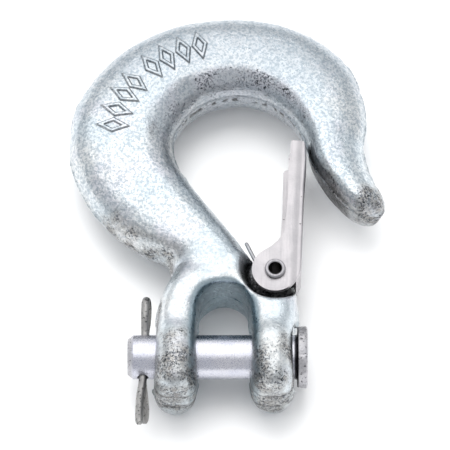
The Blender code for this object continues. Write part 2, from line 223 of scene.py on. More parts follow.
# Half of the cotter's eye and its two legs: (distance from the split, height above the pin's axis,
# sideways bend)
COTTER_EYE = [
    (0.0, 5.2, 0.0), (0.0, 7.2, 0.0), (0.5, 8.8, 0.0), (1.5, 10.9, 0.0), (2.1, 13.0, 0.0),
    (2.1, 15.0, 0.0), (1.3, 16.7, 0.0), (-0.15, 17.3, 0.0),
]
COTTER_FRONT_LEG = [
    (0.0, -5.0, 0.0), (0.0, -8.0, 0.0), (1.0, -13.0, -0.3), (2.4, -18.0, -0.1), (3.9, -22.6, 0.3),
]
COTTER_REAR_LEG = [
    (0.0, -5.0, 0.0), (0.0, -8.0, 0.0), (0.9, -12.0, 0.5), (2.0, -15.5, 0.8), (3.2, -19.2, 0.6),
]

# Fineness of the meshes. The bands say how near the parting line, or how far outside a raised mark, the
# forging's faces are halved, and then halved again.
SECTION_POINTS = 72
ROUND_SEGMENTS = 96
BOW_STEPS = 6
EAR_STEPS = 5
VOXEL = 0.62
SMOOTH_ROUNDS = 6
NECK_ROUNDS = 26
WIDE_BAND = 2.0
FINE_BAND = 0.5
MARK_WIDE_BAND = 0.8
MARK_FINE_BAND = 0.5

# Relief on the forging, and the blots of dirt below its parting line
SWELL = 0.12
FLASH_HEIGHT = 0.42
FLASH_WIDTH = 0.3
FLASH_SHADE_DROP = 2.1
BLOT_STRETCH = (1.0, 1.0, 0.4)
TRIM_LINE_Z = 3.3
TRIM_LINE_DEPTH = 0.22
TRIM_LINE_WIDTH = 0.3
DENT_SCALES = ((9.0, 0.10), (4.0, 0.05), (1.9, 0.03))
NOISE_GAIN = 1.6

# Raised marks on the bow's front: two groups of plain lozenge outlines, at stations along the bow
MARK_HEIGHT = 0.6
MARK_EDGE = 0.18
MARK_STROKE = 0.95
MARK_HALF_SIZE = (1.75, 3.7)
MARK_ACROSS = 0.42
MARK_STATIONS = (6.95, 7.55, 8.15, 8.7, 9.5, 10.05, 10.55, 11.0)
MARK_LOWEST_Z = 3.0
FAR_FROM_MARKS = 9.0

# Places in the hook's plane that the skin's wear is worked out from, and heights where it begins
BOWL_CENTRE = (6.0, 60.0)
POINT_END = (45.0, 44.5)
POINT_INNER_SIDE = (36.0, 50.0)
MOUTH_WALL = (31.0, 54.0)
HEEL = (-24.0, 33.0)
CROWN_START_Y = 58.0
EAR_END_Y = -9.0

# The latch's fold line, as metres across for each metre up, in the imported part's frame
FOLD_SLOPE = 0.046
FOLD_FOOT = CHEEK_MOUTH_SIDE[-1]
FOLD_START = (FOLD_FOOT[0] - FOLD_SLOPE * FOLD_FOOT[1]) * MM + ORIGIN.x - FOLD_SLOPE * ORIGIN.y

# Colours of the forging's zinc
ZINC_BLUE = (0.60, 0.655, 0.69)
ZINC_PALE = (0.71, 0.725, 0.725)
ZINC_VIOLET = (0.63, 0.63, 0.69)
# Darker zinc towards the crown: painted shade for the crown's dimmer reflections
ZINC_CROWN_SHADE = (0.47, 0.50, 0.53)
# Teal-dark zinc on the jaw's inner faces: painted shade and reflection inside the jaw
ZINC_JAW_SHADE = (0.36, 0.46, 0.51)
GRAIN_DARK = (0.22, 0.28, 0.33)
PATCH_DARK = (0.34, 0.40, 0.45)
SCALE_BROWN = (0.31, 0.295, 0.275)
SCALE_GREY = (0.58, 0.585, 0.63)
PEPPER_DARK = (0.08, 0.09, 0.11)
PIT_BLACK = (0.02, 0.024, 0.028)
# Black for the real blots and for painted shade in hollows, on the point's inner faces and at the marks'
# edges
DIRT_AND_SHADE_BLACK = (0.03, 0.03, 0.03)

# Colours of the pin, the sheet and the wires
PIN_LILAC = (0.58, 0.59, 0.66)
PIN_PALE = (0.64, 0.64, 0.69)
PIN_GRAIN_DARK = (0.32, 0.33, 0.42)
PIN_END_GREY = (0.38, 0.37, 0.36)
# Black for the pits and for the painted shade in the gap between the ear and the pin's head
PIN_PIT_AND_SHADE_BLACK = (0.04, 0.04, 0.045)
SHEET_DULL = (0.48, 0.465, 0.48)
SHEET_PALE = (0.54, 0.52, 0.535)
SHEET_LINE_DARK = (0.36, 0.35, 0.37)
# Painted shade for the band beside the latch's fold
SHEET_FOLD_SHADE = (0.25, 0.245, 0.26)
DING_DARK = (0.10, 0.10, 0.10)
COTTER_GREY = (0.36, 0.355, 0.35)
SPRING_GREY = (0.40, 0.40, 0.42)
RIVET_GREY = (0.42, 0.41, 0.43)
SCUFF_DARK = (0.05, 0.05, 0.05)
# Painted shade inside the rivet's hollow
HOLLOW_SHADE_BLACK = (0.035, 0.025, 0.02)

# Camera and light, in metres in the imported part's frame
VIEW_ELEVATION = math.radians(66.0)
VIEW_DISTANCE = 2.0
VIEW_TARGET = Vector((-0.0005, 0.0004, 0.014))
VIEW_WIDTH = 0.12987
SENSOR = 36.0
FLOOR_WHITE = 0.95
KEY_POWER = 8.0
KEY_DIRECTION = Vector((-0.10, 0.40, 0.91))
KEY_DISTANCE = 1.2
KEY_SIZE = 0.8
SKY_MIDDLE = Vector((-0.10, 0.36, 0.93))
SKY_INNER = math.radians(15.0)
SKY_OUTER = math.radians(54.0)
SKY_BRIGHT = (1.92, 1.92, 1.92)
SKY_BACK = (0.86, 0.88, 0.90)
SKY_FRONT = (0.68, 0.69, 0.71)


# Shapes

def smooth_rows(rows, steps):
    """Points on a Catmull-Rom curve through the rows, `steps` to a span, ends included."""
    rows = np.array(rows, dtype=float)
    padded = np.vstack([2 * rows[0] - rows[1], rows, 2 * rows[-1] - rows[-2]])
    points = []
    for before, start, end, after in zip(padded, padded[1:], padded[2:], padded[3:]):
        for t in np.arange(steps) / steps:
            slope = end - before
            bend = 2 * before - 5 * start + 4 * end - after
            twist = 3 * start - before - 3 * end + after
            points.append((2 * start + slope * t + bend * t ** 2 + twist * t ** 3) / 2)
    points.append(rows[-1])
    return points


def new_object(name, bm):
    """An object in millimetres that holds the bmesh, with faces pointing out."""
    bmesh.ops.recalc_face_normals(bm, faces=bm.faces)
    mesh = bpy.data.meshes.new(name)
    bm.to_mesh(mesh)
    bm.free()
    obj = bpy.data.objects.new(name, mesh)
    bpy.context.collection.objects.link(obj)
    return obj


def skin(rings, closed=False):
    """Skins rings of points; open runs get a flat cap at each end."""
    bm = bmesh.new()
    rows = [[bm.verts.new(point) for point in ring] for ring in rings]
    pairs = list(zip(rows, rows[1:]))
    if closed:
        pairs.append((rows[-1], rows[0]))
    for first, second in pairs:
        for i in range(len(first)):
            j = (i + 1) % len(first)
            bm.faces.new((first[i], first[j], second[j], second[i]))
    if not closed:
        bm.faces.new(rows[0])
        bm.faces.new(list(reversed(rows[-1])))
    return bm


def along_limb(table, station):
    """The value at a station, from (station, value) pairs."""
    return float(np.interp(station, [row[0] for row in table], [row[1] for row in table]))


def limb(name, stations, shape, steps):
    """A forged limb, skinned through its stations.

    Its shape is five tables: the outer power, the inner power in front of the parting line, the inner
    power behind it, the crest and the parting line's height.
    """
    rings = []
    for count, row in enumerate(smooth_rows(stations, steps)):
        values = [along_limb(table, count / steps) for table in shape]
        outer_power, front_power, rear_power, crest, parting = values
        outer = np.array(row[0:2])
        inner = np.array(row[2:4])
        deepest = outer + (inner - outer) * crest
        ring = []
        for i in range(SECTION_POINTS):
            angle = 2 * math.pi * (i + 0.5) / SECTION_POINTS
            inner_power = front_power if math.sin(angle) > 0 else rear_power
            power, side = (inner_power, inner) if math.cos(angle) > 0 else (outer_power, outer)
            across = abs(math.cos(angle)) ** (2 / power)
            up = math.copysign(abs(math.sin(angle)) ** (2 / power), math.sin(angle))
            x, y = deepest + (side - deepest) * across
            ring.append((x, y, row[4] * up + parting * (1 - up ** 2)))
        rings.append(ring)
    return new_object(name, skin(rings))


def turned(name, profile, axis, segments=ROUND_SEGMENTS):
    """A solid of revolution from (distance along the axis, radius) pairs, which close on themselves."""
    rings = []
    for k in range(segments):
        angle = 2 * math.pi * k / segments
        ring = []
        for along, radius in profile:
            a = radius * math.cos(angle)
            b = radius * math.sin(angle)
            ring.append({"X": (along, a, b), "Y": (b, along, a), "Z": (a, b, along)}[axis])
        rings.append(ring)
    bm = skin(rings, closed=True)
    bmesh.ops.remove_doubles(bm, verts=bm.verts, dist=0.0001)
    return new_object(name, bm)


def rod_profile(start, end, radius):
    """The profile of a plain solid rod."""
    return [(start, 0.0), (start, radius), (end, radius), (end, 0.0)]


def extruded(name, outline, low, high):
    """An outline in the hook's plane, thickened from low to high."""
    return new_object(name, skin([[(x, y, z) for x, y in outline] for z in (low, high)]))


def apply_modifiers(obj):
    """Replaces the object's mesh with its evaluated one."""
    graph = bpy.context.evaluated_depsgraph_get()
    mesh = bpy.data.meshes.new_from_object(obj.evaluated_get(graph))
    obj.modifiers.clear()
    old = obj.data
    obj.data = mesh
    bpy.data.meshes.remove(old)


def cut(obj, other, operation="DIFFERENCE"):
    """Applies an exact Boolean and removes the other object."""
    modifier = obj.modifiers.new(other.name, "BOOLEAN")
    modifier.operation = operation
    modifier.solver = "EXACT"
    modifier.object = other
    apply_modifiers(obj)
    bpy.data.objects.remove(other)


def vertex_array(mesh, kind="co"):
    """The places of the mesh's vertices as an array of rows, or their normals with "normal"."""
    rows = np.zeros(len(mesh.vertices) * 3)
    mesh.vertices.foreach_get(kind, rows)
    return rows.reshape(-1, 3)


def set_vertices(mesh, points):
    """Moves the mesh's vertices to the rows of the array."""
    mesh.vertices.foreach_set("co", points.astype(np.float32).ravel())
    mesh.update()


def ramp(values, low, high):
    """0 below low, 1 above high and smooth in between."""
    t = np.clip((values - low) / (high - low), 0.0, 1.0)
    return t * t * (3 - 2 * t)


def noise_at(points, size, seed):
    """Smooth noise from -1 to 1 whose bumps are about `size` across, at each row of the array."""
    offset = Vector((seed * 17.3, seed * 5.1, seed * 9.7))
    return np.array([noise.noise(Vector(point) / size + offset) for point in points]) * NOISE_GAIN


def around(points, place, radius, fade):
    """1 within a radius of a line across the hook's plane, 0 past the fade."""
    return 1 - ramp(np.hypot(points[:, 0] - place[0], points[:, 1] - place[1]), radius, radius + fade)


def smooth_with_creases(mesh, degrees):
    """Shades the mesh smooth except at edges sharper than the angle."""
    mesh.shade_smooth()
    mesh.set_sharp_from_angle(angle=math.radians(degrees))


# Forging

def jaw_outline(half_width, centre_y):
    """The jaw's outline: an arch with two parallel sides that run out past the ears."""
    outline = [(-half_width, -REACH), (half_width, -REACH)]
    for i in range(41):
        angle = math.pi * i / 40
        outline.append((half_width * math.cos(angle), centre_y + half_width * math.sin(angle)))
    return outline


def jaw_cutter():
    """The jaw's hollow, drafted so that it opens towards both faces."""
    rings = []
    for z in np.linspace(-REACH, REACH, 61):
        draft = JAW_FRONT_DRAFT if z > 0 else JAW_REAR_DRAFT
        flare = draft * max(0.0, abs(z) - JAW_DRAFT_START)
        flare += JAW_RIM * ramp(abs(z), EAR_HALF_DEPTH - JAW_RIM_DEPTH, EAR_HALF_DEPTH)
        outline = jaw_outline(JAW_HALF_WIDTH + flare, CROTCH_CENTRE_Y - CROTCH_SINK * flare)
        rings.append([(x, y, z) for x, y in outline])
    return new_object("jaw_cutter", skin(rings))


def pocket_profile(floor, top):
    """A drafted round hollow from its floor to a height past the forging's face."""
    mouth = POCKET_RADIUS + abs(top - floor) * math.tan(POCKET_DRAFT)
    return [(floor, 0.0), (floor, POCKET_RADIUS), (top, mouth), (top, 0.0)]


def at_pivot(name, profile):
    """A turned shape on the latch's axis."""
    shape = turned(name, profile, "Z")
    shape.data.transform(Matrix.Translation((*PIVOT, 0.0)))
    return shape


def neighbour_average(count, edges):
    """A function that averages each vertex's neighbours."""
    degree = np.bincount(edges.ravel(), minlength=count).astype(float)

    def average(points):
        total = np.zeros_like(points)
        for column in range(points.shape[1]):
            total[:, column] = np.bincount(edges[:, 0], points[edges[:, 1], column], count)
            total[:, column] += np.bincount(edges[:, 1], points[edges[:, 0], column], count)
        return total / degree[:, None]

    return average


def relax(mesh, rounds, share):
    """Smooths the mesh; share is how far each vertex moves, from 0 to 1."""
    points = vertex_array(mesh)
    edges = np.zeros(len(mesh.edges) * 2, dtype=np.int64)
    mesh.edges.foreach_get("vertices", edges)
    average = neighbour_average(len(points), edges.reshape(-1, 2))
    for _ in range(rounds):
        points += (average(points) - points) * share[:, None]
    set_vertices(mesh, points)


def in_pivot_hollow(points):
    """1 within the latch's pockets and boss, 0 well outside them."""
    return around(points, PIVOT, 9.0, 4.0)


def near_pin(points):
    """1 at the pin's bore and the boss faces round it, 0 well outside them."""
    distance = np.hypot(points[:, 1], points[:, 2])
    face = np.abs(points[:, 0]) > BOSS_FACE_X - 0.6
    return np.where(face, 1 - ramp(distance, 9.4, 9.9), 1 - ramp(distance, 7.2, 8.2))


def rough_forging():
    """The forging's shape before any relief: limbs joined, cut, evenly meshed and eased."""
    bow_shape = (OUTER_POWER, INNER_FRONT_POWER, INNER_REAR_POWER, BOW_CREST, PARTING)
    ear_shape = (EAR_POWER, EAR_POWER, EAR_POWER, EAR_CREST, EAR_PARTING)
    boss = rod_profile(-PIVOT_BOSS_HALF_DEPTH, PIVOT_BOSS_HALF_DEPTH, PIVOT_BOSS_RADIUS)
    body = limb("hook_forging", BOW, bow_shape, BOW_STEPS)
    cut(body, limb("left_ear", LEFT_EAR, ear_shape, EAR_STEPS), "UNION")
    cut(body, limb("right_ear", RIGHT_EAR, ear_shape, EAR_STEPS), "UNION")
    cut(body, at_pivot("pivot_boss", boss), "UNION")
    cut(body, jaw_cutter())
    cut(body, turned("pin_bore", rod_profile(-REACH, REACH, BORE_RADIUS), "X"))
    cut(body, turned("left_face", rod_profile(-26.0, -BOSS_FACE_X, BOSS_FACE_RADIUS), "X"))
    cut(body, turned("right_face", rod_profile(BOSS_FACE_X, 26.0, BOSS_FACE_RADIUS), "X"))
    cut(body, at_pivot("front_pocket", pocket_profile(FRONT_FLOOR_Z, POCKET_TOP_Z)))
    cut(body, at_pivot("rear_pocket", pocket_profile(REAR_FLOOR_Z, -POCKET_TOP_Z)))
    cut(body, at_pivot("pivot_bore", rod_profile(-REACH, REACH, PIVOT_BORE_RADIUS)))
    remesh = body.modifiers.new("even", "REMESH")
    remesh.mode = "VOXEL"
    remesh.voxel_size = VOXEL
    apply_modifiers(body)
    points = vertex_array(body.data)
    keep = np.maximum(in_pivot_hollow(points), near_pin(points))
    relax(body.data, SMOOTH_ROUNDS, 0.5 * (1 - 0.8 * keep))
    neck = ramp(points[:, 1], 10.0, 15.0) * (1 - ramp(points[:, 1], 30.0, 38.0)) * (1 - keep)
    relax(body.data, NECK_ROUNDS, 0.5 * neck)
    return body


def bow_place(station, across):
    """A point part of the way across the bow at a station, and the bow's direction there."""
    rows = smooth_rows(BOW, 20)
    row, following = rows[round(station * 20)], rows[round(station * 20) + 1]
    point = row[0:2] + (row[2:4] - row[0:2]) * across
    ahead = following[0:2] + (following[2:4] - following[0:2]) * across - point
    return point, ahead / np.linalg.norm(ahead)


def mark_distance(points):
    """How far each point is outside the nearest raised mark, and negative inside it."""
    nearest = np.full(len(points), FAR_FROM_MARKS)
    half_long, half_high = MARK_HALF_SIZE
    steepness = half_long * half_high / math.hypot(half_long, half_high)
    for station in MARK_STATIONS:
        middle, ahead = bow_place(station, MARK_ACROSS)
        offset = points[:, 0:2] - middle
        along = np.abs(offset @ ahead) / half_long
        across = np.abs(offset @ np.array((-ahead[1], ahead[0]))) / half_high
        distance = np.abs(along + across - 1) * steepness - MARK_STROKE / 2
        nearest = np.minimum(nearest, distance)
    return np.where(points[:, 2] > MARK_LOWEST_Z, nearest, FAR_FROM_MARKS)


def above_parting(points):
    """How far each point is above the parting line, which rises along the bow."""
    rows = np.array(smooth_rows(BOW, 3))
    middles = (rows[:, 0:2] + rows[:, 2:4]) / 2
    gaps = [np.hypot(*(points[:, 0:2] - middle).T) for middle in middles]
    stations = np.argmin(gaps, axis=0) / 3
    blend = ramp(points[:, 1], 24.0, 44.0)
    height = np.interp(stations, [row[0] for row in PARTING], [row[1] for row in PARTING])
    return points[:, 2] - EAR_PARTING[0][1] - (height - EAR_PARTING[0][1]) * blend


def refine(mesh, parting_band, mark_band):
    """Halves the faces whose middles are near the parting line or a raised mark."""
    bm = bmesh.new()
    bm.from_mesh(mesh)
    middles = np.array([face.calc_center_median() for face in bm.faces])
    chosen = (np.abs(above_parting(middles)) < parting_band) | (mark_distance(middles) < mark_band)
    edges = {edge for face, fine in zip(bm.faces, chosen) if fine for edge in face.edges}
    bmesh.ops.subdivide_edges(bm, edges=sorted(edges, key=lambda edge: edge.index), cuts=1,
                              use_grid_fill=True)
    bm.to_mesh(mesh)
    bm.free()


def make_forging():
    """The hook's body."""
    body = rough_forging()
    mesh = body.data
    refine(mesh, WIDE_BAND, MARK_WIDE_BAND)
    refine(mesh, FINE_BAND, MARK_FINE_BAND)
    points = vertex_array(mesh)
    normals = vertex_array(mesh, "normal")
    bare = 1 - np.maximum(in_pivot_hollow(points), near_pin(points))
    height = np.full(len(points), SWELL)
    for seed, (size, depth) in enumerate(DENT_SCALES):
        height += depth * noise_at(points, size, seed)
    ridge = np.exp(-(above_parting(points) / FLASH_WIDTH) ** 2) * (1 + 0.5 * noise_at(points, 2.5, 7))
    height += FLASH_HEIGHT * ridge * (1 - 0.6 * jaw_cover(points, normals))
    height += MARK_HEIGHT * (1 - ramp(mark_distance(points), -MARK_EDGE, MARK_EDGE))
    height -= TRIM_LINE_DEPTH * trim_line(points)
    points = np.clip(points + normals * (height * bare)[:, None], *design_box())
    set_vertices(mesh, points)
    # The jaw layer marks where painted shade darkens the jaw's inner faces; the dirt-and-shade layer holds
    # real blots and painted shade
    for name, cover in (("scale", scale_cover(points, normals)), ("dirt_and_shade", dirt_and_shade_cover(points, normals)),
                        ("jaw", jaw_cover(points, normals))):
        layer = mesh.attributes.new(name, "FLOAT", "POINT")
        layer.data.foreach_set("value", cover.astype(np.float32))
    mesh.shade_smooth()
    return body


def design_box():
    """The CAD model's lowest and highest corners in the design frame."""
    return [np.array((corner - ORIGIN) / MM) for corner in cad_box]


def trim_line(points):
    """1 along the line round each ear's end where the flash was trimmed, 0 away from it."""
    line = np.exp(-((points[:, 2] - TRIM_LINE_Z) / TRIM_LINE_WIDTH) ** 2)
    return line * (1 - ramp(points[:, 1], EAR_END_Y, -5.0))


def facing_bowl(points, normals):
    """How squarely the skin faces the middle of the bowl, from -1 to 1."""
    to_bowl = np.array(BOWL_CENTRE) - points[:, 0:2]
    to_bowl /= np.linalg.norm(to_bowl, axis=1)[:, None] + 1e-9
    return (normals[:, 0:2] * to_bowl).sum(axis=1)


def dirt_and_shade_cover(points, normals):
    """Where the forging is darkened, from 0 to 1: real blots along the parting line and trimmed flash, and
    painted shade in the latch's hollow, on the point's inner faces and along the raised marks' edges.
    """
    facing = facing_bowl(points, normals)
    level = above_parting(points)
    seam = np.exp(-((level + FLASH_SHADE_DROP) / 1.1) ** 4)
    blots = ramp(noise_at(points * BLOT_STRETCH, 1.3, 31), 0.0, 0.12)
    crown_seam = seam * blots * ramp(facing, 0.3, 0.6) * ramp(points[:, 1], CROWN_START_Y, 76.0)
    ear_seam = seam * (1 - ramp(points[:, 1], EAR_END_Y, -4.0)) * ramp(noise_at(points, 1.4, 33), -0.3, 0.2)
    # Painted shade on the point's inner faces, darkest below the parting line, with a light gap at the
    # flash ridge
    mouth = around(points, MOUTH_WALL, 8.0, 6.0) * ramp(facing, 0.05, 0.35)
    mouth *= 1 - ramp(level, -0.3, 0.0) * (1 - 0.75 * ramp(level, 0.3, 0.6)) - 0.6 * ramp(level, 1.0, 3.5)
    # Painted shade down the latch's hollows round the pivot
    hollow = around(points, PIVOT, POCKET_RADIUS + 0.2, 1.4) * ramp(points[:, 2], -1.0, 0.5)
    # Painted shade along the edges of the raised marks
    marks = 0.55 * np.exp(-(mark_distance(points) / 0.22) ** 2)
    cover = [crown_seam, ear_seam, 0.6 * trim_line(points), mouth, 0.9 * hollow, marks]
    return np.clip(np.maximum.reduce(cover), 0, 1)


def jaw_cover(points, normals):
    """1 on the jaw's inner faces, 0 outside it."""
    inward = -normals[:, 0] * np.sign(points[:, 0])
    arch = np.stack([-points[:, 0], CROTCH_CENTRE_Y - points[:, 1]], axis=1)
    arch /= np.linalg.norm(arch, axis=1)[:, None] + 1e-9
    crotch = (normals[:, 0:2] * arch).sum(axis=1)
    facing = np.where(points[:, 1] > CROTCH_CENTRE_Y, crotch, inward)
    reach = np.hypot(points[:, 0], np.maximum(points[:, 1] - CROTCH_CENTRE_Y, 0.0))
    return ramp(facing, 0.2, 0.6) * (1 - ramp(reach, JAW_HALF_WIDTH + 2.0, JAW_HALF_WIDTH + 3.5))


def scale_cover(points, normals):
    """Where the forging's skin is coarse and pitted, from 0 to 1."""
    facing = facing_bowl(points, normals)
    crown = ramp(points[:, 1], CROWN_START_Y, 74.0) * ramp(facing, 0.15, 0.5)
    crown *= 1 - 0.5 * ramp(facing, 0.7, 0.95)
    ears = (1 - ramp(points[:, 1], -3.0, 8.0)) * ramp(points[:, 2], -14.0, -4.0)
    point = 0.7 * around(points, POINT_INNER_SIDE, 9.0, 4.0) * ramp(facing, 0.2, 0.5)
    point = np.clip(point + around(points, POINT_END, 5.5, 4.0), 0, 1)
    heel = 0.85 * around(points, HEEL, 10.0, 9.0) * ramp(-facing, 0.45, 0.8)
    cover = np.maximum.reduce([0.85 * crown, ears, point, heel])
    return np.clip(cover * (0.8 + 0.7 * noise_at(points, 5.0, 11)), 0, 1)


# Clevis pin

def arc(centre_along, centre_radius, radius, start, end, steps):
    """Profile points on an arc; angles are in degrees from the axis's direction."""
    points = []
    for i in range(steps + 1):
        angle = math.radians(start + (end - start) * i / steps)
        points.append((centre_along + radius * math.cos(angle), centre_radius + radius * math.sin(angle)))
    return points


def make_clevis_pin():
    """A headed pin: upset head with a rounded rim and a shallow dish, and a chamfered far end."""
    profile = [(PIN_END_X + 0.25, 0.0), (PIN_END_X + 0.25, 1.6), (PIN_END_X, 2.2)]
    profile += arc(PIN_END_X + 0.35, PIN_RADIUS - PIN_CHAMFER, 0.35, 180, 130, 4)
    profile += arc(PIN_END_X + PIN_CHAMFER + 0.5, PIN_RADIUS - 0.5, 0.5, 135, 90, 4)
    profile += [(x, PIN_RADIUS) for x in np.linspace(PIN_END_X + 4.0, HEAD_INNER_X - 0.9, 22)]
    profile += arc(HEAD_INNER_X - 0.45, PIN_RADIUS + 0.45, 0.45, 270, 360, 5)
    profile += arc(HEAD_INNER_X + 0.3, HEAD_RADIUS - 0.3, 0.3, 180, 90, 4)
    profile += [((HEAD_INNER_X + HEAD_OUTER_X) / 2, HEAD_RADIUS)]
    profile += arc(HEAD_OUTER_X - 0.7, HEAD_RADIUS - 0.7, 0.7, 90, 0, 6)
    profile += [(HEAD_OUTER_X - 0.25, 5.0), (HEAD_OUTER_X - 0.35, 2.0), (HEAD_OUTER_X - 0.35, 0.0)]
    pin = turned("pin", profile, "X", 128)
    hole = turned("cotter_hole", rod_profile(-REACH, REACH, COTTER_HOLE_RADIUS), "Y", 40)
    hole.data.transform(Matrix.Translation((COTTER_X, 0.0, 0.0)) @ Matrix.Rotation(-COTTER_LEAN, 4, "Z"))
    cut(pin, hole)
    points = vertex_array(pin.data)
    sheared = 1 - ramp(points[:, 0], PIN_END_X + 0.2, PIN_END_X + 2.0)
    upset = ramp(points[:, 0], HEAD_INNER_X + 0.4, HEAD_OUTER_X)
    swell = 0.22 * noise_at(points, 3.2, 21) * (sheared + upset)
    points[:, 1:3] *= (1 + (swell - 0.15 * sheared) / PIN_RADIUS)[:, None]
    set_vertices(pin.data, points)
    smooth_with_creases(pin.data, 32)
    return pin


# Cotter pin

def cotter_ring(point, tangent, size):
    """A half-round section, with eased corners, whose flat side faces the inside of the fold."""
    outward = np.array((tangent[1], -tangent[0])) / math.hypot(tangent[0], tangent[1])
    ring = []
    for i in range(25):
        angle = math.pi * i / 24
        lift = size * (math.sin(angle) ** 0.9)
        across, height = point[:2] + outward * lift
        ring.append((point[2] + size * math.cos(angle) * (1 - 0.04 * math.cos(angle) ** 8), height, across))
    for i in range(1, 8):
        across, height = point[:2]
        ring.append((point[2] - size * 0.96 * (1 - i / 4), height, across))
    return ring


def make_cotter_pin():
    """Half-round wire, up one leg, round the eye and down the other leg, with eased tips."""
    eye = [(p + COTTER_SPLIT, q, side) for p, q, side in COTTER_EYE]
    front = [(p + COTTER_SPLIT, q, side) for p, q, side in reversed(COTTER_FRONT_LEG)]
    rear = [(-p - COTTER_SPLIT, q, side) for p, q, side in COTTER_REAR_LEG]
    far_eye = [(-p, q, side) for p, q, side in reversed(eye[:-1])]
    path = smooth_rows(front + eye + far_eye + rear, 8)
    last = len(path) - 1
    rings = []
    for i, point in enumerate(path):
        tangent = path[min(i + 1, last)] - path[max(i - 1, 0)]
        from_tip = min(i, last - i)
        size = COTTER_WIRE_RADIUS * (1.0 if from_tip > 3 else (0.5, 0.78, 0.9, 0.97)[from_tip])
        rings.append(cotter_ring(point, tangent, size))
    cotter = new_object("cotter", skin(rings))
    turn = Matrix.Rotation(-COTTER_LEAN, 4, "Z") @ Matrix.Rotation(-COTTER_TURN, 4, "Y")
    cotter.data.transform(Matrix.Translation((COTTER_X, 0.0, 0.0)) @ turn)
    smooth_with_creases(cotter.data, 50)
    return cotter


# Latch

def cheek_outline(throat_side):
    """One cheek's outline round the pivot, anticlockwise from the mouth side."""
    outline = [(x - PIVOT[0], y - PIVOT[1]) for x, y in reversed(CHEEK_MOUTH_SIDE)]
    outline += [(x - PIVOT[0], y - PIVOT[1]) for x, y in reversed(throat_side)]
    start, end = EYE_ARC_DEGREES
    for i in range(61):
        angle = math.radians(start + (end - start) * i / 60)
        outline.append((EYE_RADIUS * math.cos(angle), EYE_RADIUS * math.sin(angle)))
    return outline


def mouth_line(height):
    """How far right of the pivot the latch's mouth side is, at a height above the pivot."""
    side = sorted((y - PIVOT[1], x - PIVOT[0]) for x, y in CHEEK_MOUTH_SIDE[2:])
    return float(np.interp(height, [row[0] for row in side], [row[1] for row in side]))


def round_rim(obj, chosen, radius, segments):
    """Rounds the rim edges that are chosen by their middles."""
    bm = bmesh.new()
    bm.from_mesh(obj.data)
    rim = []
    for edge in bm.edges:
        first, second = edge.verts
        middle = (first.co + second.co) / 2
        if abs(first.co.z - second.co.z) < 0.001 and abs(middle.z) > 1.0 and chosen(middle):
            rim.append(edge)
    bmesh.ops.bevel(bm, geom=rim, offset=radius, offset_type="OFFSET", segments=segments, profile=0.5,
                    affect="EDGES", clamp_overlap=True)
    bmesh.ops.remove_doubles(bm, verts=bm.verts, dist=0.01)
    bmesh.ops.recalc_face_normals(bm, faces=bm.faces)
    bm.to_mesh(obj.data)
    bm.free()


def make_latch():
    """A pressed channel: two cheeks of slightly different outline and the web between them."""
    half = LATCH_HALF_WIDTH
    latch = extruded("latch_front", cheek_outline(CHEEK_THROAT_SIDE), -0.5, half)
    cut(latch, extruded("rear", cheek_outline(REAR_CHEEK_THROAT_SIDE), -half, 0.5), "UNION")
    round_rim(latch, lambda middle: -2.0 < middle.y < 39.5 and middle.x > mouth_line(middle.y) - 0.4,
              BEND_RADIUS, 8)
    heights = [-12.0] + [y - PIVOT[1] for _, y in reversed(CHEEK_MOUTH_SIDE[2:])] + [44.0]
    outline = [(-12.0, -12.0)] + [(mouth_line(y) - SHEET_THICKNESS, y) for y in heights] + [(-12.0, 44.0)]
    channel = extruded("channel", outline, SHEET_THICKNESS - half, half - SHEET_THICKNESS)
    round_rim(channel, lambda middle: middle.x > 0.0, BEND_RADIUS - SHEET_THICKNESS, 5)
    cut(latch, channel)
    cut(latch, turned("latch_bore", rod_profile(-REACH, REACH, PIVOT_BORE_RADIUS), "Z"))
    ease = latch.modifiers.new("ease", "BEVEL")
    ease.width = 0.22
    ease.segments = 3
    ease.limit_method = "ANGLE"
    ease.angle_limit = math.radians(50)
    apply_modifiers(latch)
    latch.data.transform(Matrix.Translation((*PIVOT, 0.0)))
    smooth_with_creases(latch.data, 40)
    return latch


def make_latch_pin():
    """A tubular rivet, each end rolled over into a rounded flange."""
    seat = LATCH_HALF_WIDTH + 0.3
    inner = RIVET_HOLLOW_RADIUS
    half = [(0.0, RIVET_RADIUS), (seat, RIVET_RADIUS), (seat, RIVET_FLANGE_RADIUS - 0.12)]
    for i in range(13):
        angle = math.pi * i / 12
        radius = (RIVET_FLANGE_RADIUS + inner) / 2 + (RIVET_FLANGE_RADIUS - inner) / 2 * math.cos(angle)
        half.append((seat + 0.12 + (RIVET_FLANGE - 0.12) * math.sin(angle) ** 0.8, radius))
    half += [(seat - 1.0, inner), (0.0, inner)]
    mirrored = [(-along, radius) for along, radius in reversed(half[1:-1])]
    rivet = at_pivot("rivet", half + mirrored)
    smooth_with_creases(rivet.data, 50)
    return rivet


def tangent_angle(tip, side):
    """The angle at which a straight leg from the tip meets the coil."""
    reach = math.hypot(*tip)
    return math.atan2(tip[1], tip[0]) + side * math.acos(COIL_RADIUS / reach)


def spring_path():
    """A leg down from the shank, a coil round the pivot, and a leg up inside the latch."""
    start = tangent_angle(BODY_LEG_TIP, 1)
    end = tangent_angle(LATCH_LEG_TIP, -1) + 2 * math.pi * (COIL_TURNS + 1)

    def on_coil(share):
        angle = start + (end - start) * share
        return (COIL_RADIUS * math.cos(angle), COIL_RADIUS * math.sin(angle),
                COIL_START_Z + (COIL_END_Z - COIL_START_Z) * share)

    path = []
    for tip, height, coil_end in ((BODY_LEG_TIP, COIL_START_Z, 0.0), (LATCH_LEG_TIP, COIL_END_Z, 1.0)):
        leg = [np.array((*tip, height)), np.array(on_coil(coil_end))]
        path.append([leg[0] + (leg[1] - leg[0]) * share for share in np.linspace(0, 1, 17)[:-1]])
    coil = [on_coil(share) for share in np.linspace(0, 1, 161)]
    return [Vector(point) for point in path[0] + coil + path[1][::-1]]


